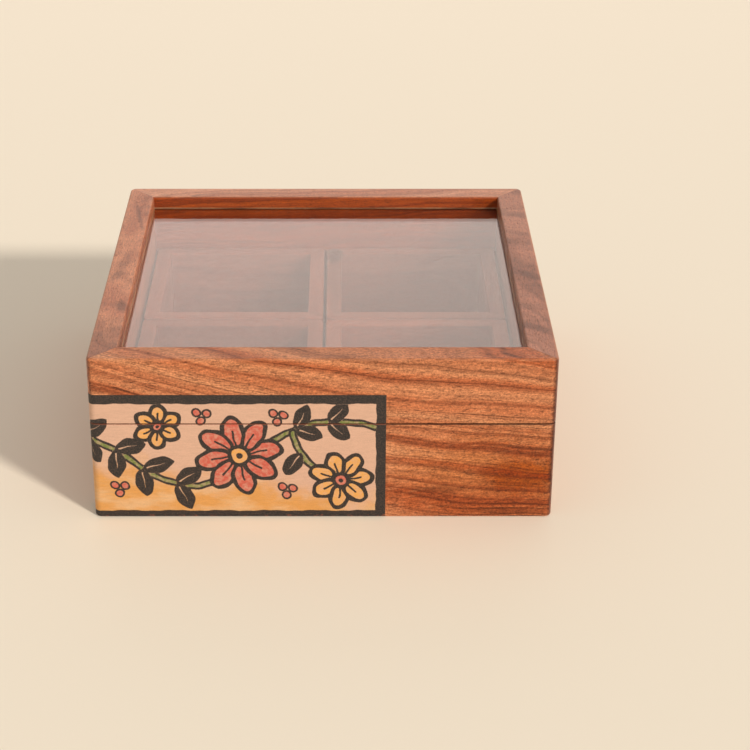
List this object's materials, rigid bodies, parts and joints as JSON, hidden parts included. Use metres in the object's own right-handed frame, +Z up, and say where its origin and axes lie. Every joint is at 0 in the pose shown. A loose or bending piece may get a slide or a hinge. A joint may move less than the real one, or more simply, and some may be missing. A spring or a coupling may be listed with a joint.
{
  "type": "wooden spice box with hinged lid",
  "caption": "Low square wooden box with mitred corners, a hinged lid framing a recessed glass pane, and loose square wooden containers inside.",
  "frame": {"origin": "middle of the underside of the box, on the surface it stands on", "axes": "+Z up, the front with the painted panel faces -Y, the hinges are at +Y, +X is to the right seen from the front"},
  "size_m": [0.165, 0.165, 0.0635],
  "materials": {
    "box_wood": "oiled satin",
    "container_wood": "plain satin",
    "panel_wood": "plain",
    "pane_glass": "clear",
    "hinge_brass": "satin"
  },
  "bodies": {
    "base": {"base_front_board": "box_wood", "base_right_board": "box_wood", "base_back_board": "box_wood", "base_left_board": "box_wood", "base_bottom": "panel_wood", "hinge_left_base_leaf": "hinge_brass", "hinge_right_base_leaf": "hinge_brass", "hinge_left_pin": "hinge_brass", "hinge_right_pin": "hinge_brass", "hinge_base_screws": "hinge_brass"},
    "lid": {"lid_front_rail": "box_wood", "lid_right_rail": "box_wood", "lid_back_rail": "box_wood", "lid_left_rail": "box_wood", "lid_glass": "pane_glass", "hinge_left_lid_leaf": "hinge_brass", "hinge_right_lid_leaf": "hinge_brass", "hinge_lid_screws": "hinge_brass"},
    "container_front_left": {"container_front_left_front_wall": "container_wood", "container_front_left_right_wall": "container_wood", "container_front_left_back_wall": "container_wood", "container_front_left_left_wall": "container_wood", "container_front_left_bottom": "container_wood"},
    "container_front_right": {"container_front_right_front_wall": "container_wood", "container_front_right_right_wall": "container_wood", "container_front_right_back_wall": "container_wood", "container_front_right_left_wall": "container_wood", "container_front_right_bottom": "container_wood"},
    "container_back_left": {"container_back_left_front_wall": "container_wood", "container_back_left_right_wall": "container_wood", "container_back_left_back_wall": "container_wood", "container_back_left_left_wall": "container_wood", "container_back_left_bottom": "container_wood"},
    "container_back_right": {"container_back_right_front_wall": "container_wood", "container_back_right_right_wall": "container_wood", "container_back_right_back_wall": "container_wood", "container_back_right_left_wall": "container_wood", "container_back_right_bottom": "container_wood"}
  },
  "joints": [
    {"name": "lid_hinge", "type": "hinge", "parent": "base", "child": "lid", "pos_m": [0, 0.0805, 0.03805], "axis": [-1, 0, 0], "range_deg": [0, 99]},
    {"name": "front_left_container_lift", "type": "slide", "parent": "base", "child": "container_front_left", "axis": [0, 0, 1], "range_m": [0, 0.016]},
    {"name": "front_right_container_lift", "type": "slide", "parent": "base", "child": "container_front_right", "axis": [0, 0, 1], "range_m": [0, 0.016]},
    {"name": "back_left_container_lift", "type": "slide", "parent": "base", "child": "container_back_left", "axis": [0, 0, 1], "range_m": [0, 0.016]},
    {"name": "back_right_container_lift", "type": "slide", "parent": "base", "child": "container_back_right", "axis": [0, 0, 1], "range_m": [0, 0.016]}
  ]
}
